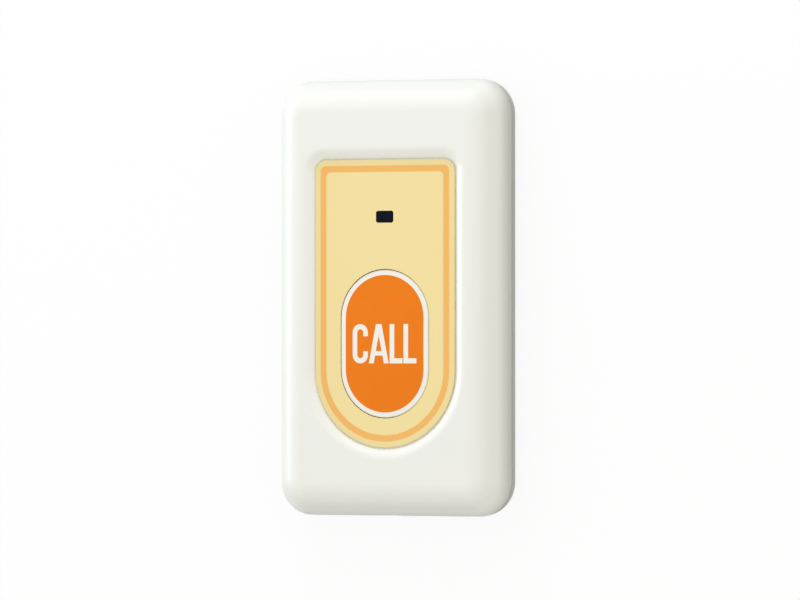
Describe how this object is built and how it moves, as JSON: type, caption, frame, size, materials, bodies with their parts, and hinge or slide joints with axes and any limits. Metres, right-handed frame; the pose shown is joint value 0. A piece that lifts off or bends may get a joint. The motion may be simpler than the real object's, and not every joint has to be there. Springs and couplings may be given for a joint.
{
  "type": "waiter call button",
  "caption": "Slim upright table call button: rounded white case with a sunk U-shaped label, a dark lamp window and one tall oval push key that travels against a dome switch.",
  "frame": {"origin": "centre of the flat back, which rests on the table or against the wall", "axes": "+X across the case to the right, +Y along the case towards the lamp end, +Z out of the face that is pressed"},
  "size_m": [0.048, 0.0844, 0.0119],
  "materials": {
    "case_white": "fine satin texture",
    "cover_grey": "fine matt texture",
    "seal_rubber": "matt",
    "screw_steel": "zinc plated",
    "label_print": "satin printed film",
    "adhesive_clear": "clear",
    "lamp_smoke": "polished",
    "key_white": "satin",
    "key_orange": "satin",
    "boot_silicone": "translucent matt",
    "switch_black": "moulded",
    "spring_steel": "rolled",
    "board_green": "solder mask",
    "cell_steel": "brushed",
    "contact_gold": "plated",
    "led_white": "moulded",
    "chip_black": "moulded",
    "tin": "tinned",
    "can_nickel": "nickel plated",
    "ferrite": "sintered",
    "ceramic_tan": "fired",
    "resistor_black": "glazed",
    "coil_copper": "enamelled"
  },
  "bodies": {
    "case": {"front_housing": "case_white", "rear_cover": "cover_grey", "case_seal": "seal_rubber", "case_screw": "screw_steel", "face_film": "label_print", "film_adhesive": "adhesive_clear", "lamp_window": "lamp_smoke", "key_boot": "boot_silicone", "switch_base": "switch_black", "switch_cover": "spring_steel", "switch_dome": "spring_steel", "switch_terminals": "tin", "circuit_board": "board_green", "board_screws": "screw_steel", "coin_cell": "cell_steel", "cell_clip": "spring_steel", "cell_pad": "contact_gold", "status_led": "led_white", "encoder_chip": "chip_black", "chip_leads": "tin", "rf_transistor": "chip_black", "rf_resonator": "can_nickel", "rf_choke": "ferrite", "chip_capacitors": "ceramic_tan", "chip_resistors": "resistor_black", "antenna_coil": "coil_copper"},
    "key": {"key_cap": "key_white", "key_inlay": "key_orange"},
    "plunger": {"switch_plunger": "switch_black"}
  },
  "joints": [
    {"name": "key_press", "type": "slide", "parent": "case", "child": "key", "axis": [0, 0, -1], "range_m": [0, 0.0006], "stiffness_N_per_m": 1500, "springref_m": -0.0002, "deforming": ["key_boot"]},
    {"name": "plunger_press", "type": "slide", "parent": "case", "child": "plunger", "axis": [0, 0, -1], "range_m": [0, 0.0006], "deforming": ["switch_dome"]}
  ],
  "couplings": [
    {"joint": "plunger_press", "follows": "key_press", "ratio": 1}
  ]
}
